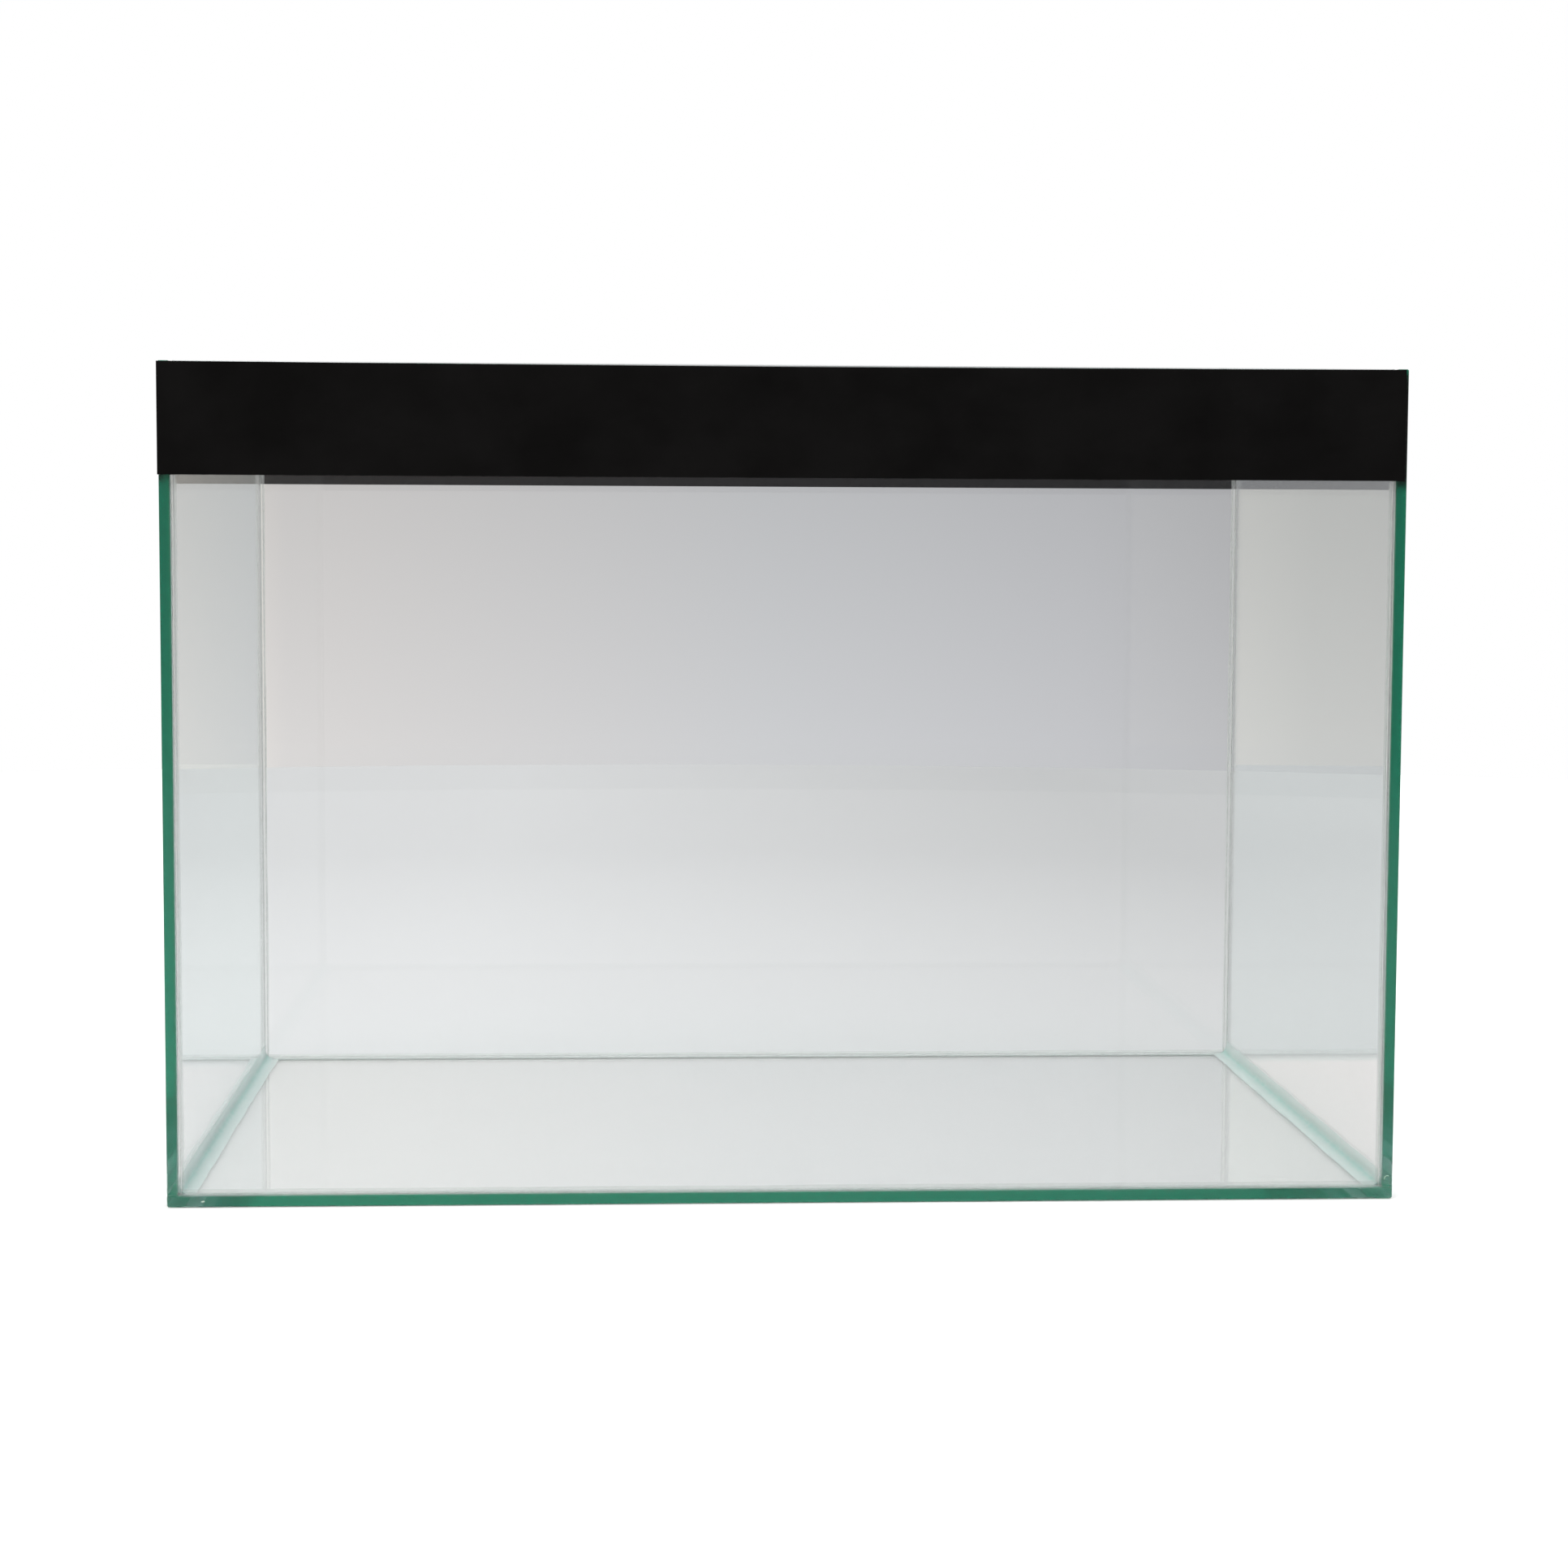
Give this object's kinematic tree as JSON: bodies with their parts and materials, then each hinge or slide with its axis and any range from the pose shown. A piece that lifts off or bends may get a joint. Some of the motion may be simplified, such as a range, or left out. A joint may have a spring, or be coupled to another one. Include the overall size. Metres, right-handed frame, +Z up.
{
  "type": "glass aquarium tank",
  "caption": "Open-topped rectangular glass aquarium of silicone-bonded panes, with a black film strip along the top of its front and rear.",
  "frame": {"origin": "middle of the tank's underside, on the surface it stands on", "axes": "+Z up; +X along the length, towards the right end seen from the front; the front faces -Y"},
  "size_m": [0.4508, 0.3006, 0.305],
  "materials": {
    "float_glass": "clear float glass, polished faces and arrised edges that look green",
    "clear_silicone": "translucent clear silicone sealant, smooth and slightly glossy",
    "black_film": "opaque black self-adhesive film, low gloss"
  },
  "bodies": {
    "root": {"base_pane": "float_glass", "left_pane": "float_glass", "right_pane": "float_glass", "front_pane": "float_glass", "rear_pane": "float_glass", "base_left_bond": "clear_silicone", "base_right_bond": "clear_silicone", "base_front_bond": "clear_silicone", "base_rear_bond": "clear_silicone", "front_left_bond": "clear_silicone", "front_right_bond": "clear_silicone", "rear_left_bond": "clear_silicone", "rear_right_bond": "clear_silicone", "base_left_bead": "clear_silicone", "base_right_bead": "clear_silicone", "base_front_bead": "clear_silicone", "base_rear_bead": "clear_silicone", "front_left_bead": "clear_silicone", "front_right_bead": "clear_silicone", "rear_left_bead": "clear_silicone", "rear_right_bead": "clear_silicone", "front_band": "black_film", "rear_band": "black_film"}
  },
  "joints": []
}
